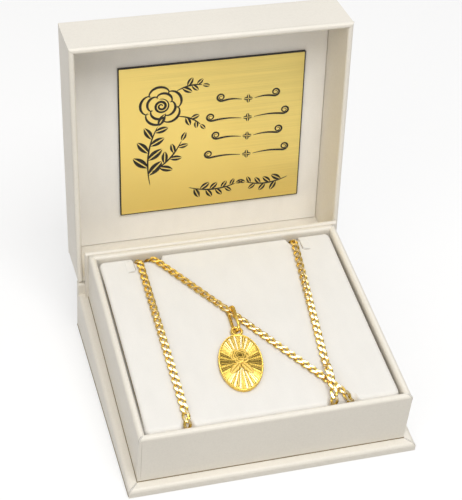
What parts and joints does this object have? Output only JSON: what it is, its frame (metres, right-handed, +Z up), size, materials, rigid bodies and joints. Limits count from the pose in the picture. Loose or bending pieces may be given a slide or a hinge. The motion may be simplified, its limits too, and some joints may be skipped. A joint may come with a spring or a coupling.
{
  "type": "jewellery presentation box",
  "caption": "Leatherette presentation box on a wedge plinth, with a hinged lid, a metal plaque on its lining and a curb necklace with an oval medal laid over its soft pad.",
  "frame": {"origin": "middle of the plinth's footprint, on the table", "axes": "+X to the box's right seen from the front, +Y from the front to the hinge, +Z up; the lid is drawn open and upright"},
  "size_m": [0.092, 0.1033, 0.1089],
  "materials": {
    "leatherette": "cream, fine grain, satin",
    "suede": "cream suede over foam",
    "lining": "beige suede",
    "felt": "felt",
    "card": "plain card",
    "steel": "plain",
    "gold": "polished gold",
    "tape": "adhesive strip",
    "black_laminate": "matt black",
    "brushed_gold": "brushed along its width"
  },
  "bodies": {
    "base": {"base_shell": "leatherette", "bottom_board": "card", "bottom_felt": "felt", "tray_front_wall": "leatherette", "tray_back_wall": "leatherette", "tray_left_wall": "leatherette", "tray_right_wall": "leatherette", "hinge_board": "leatherette", "pad_riser": "card", "pad_cushion": "suede", "hinge_leaves": "steel", "hinge_pin": "steel", "chain_left_run": "gold", "chain_diagonal_run": "gold", "chain_right_run": "gold", "chain_hidden_runs": "gold", "clasp_ring": "gold", "pendant_bail": "gold", "pendant_medal": "gold"},
    "lid": {"lid_panel": "leatherette", "lid_front_wall": "leatherette", "lid_left_wall": "leatherette", "lid_right_wall": "leatherette", "lid_back_wall": "leatherette", "lid_lining": "lining", "plaque_tape": "tape", "plaque_core": "black_laminate", "plaque_face": "brushed_gold"}
  },
  "joints": [
    {"name": "lid_hinge", "type": "hinge", "parent": "base", "child": "lid", "pos_m": [0, 0.03957, 0.02253], "axis": [1, 0, 0], "range_deg": [0, 99.1]}
  ]
}
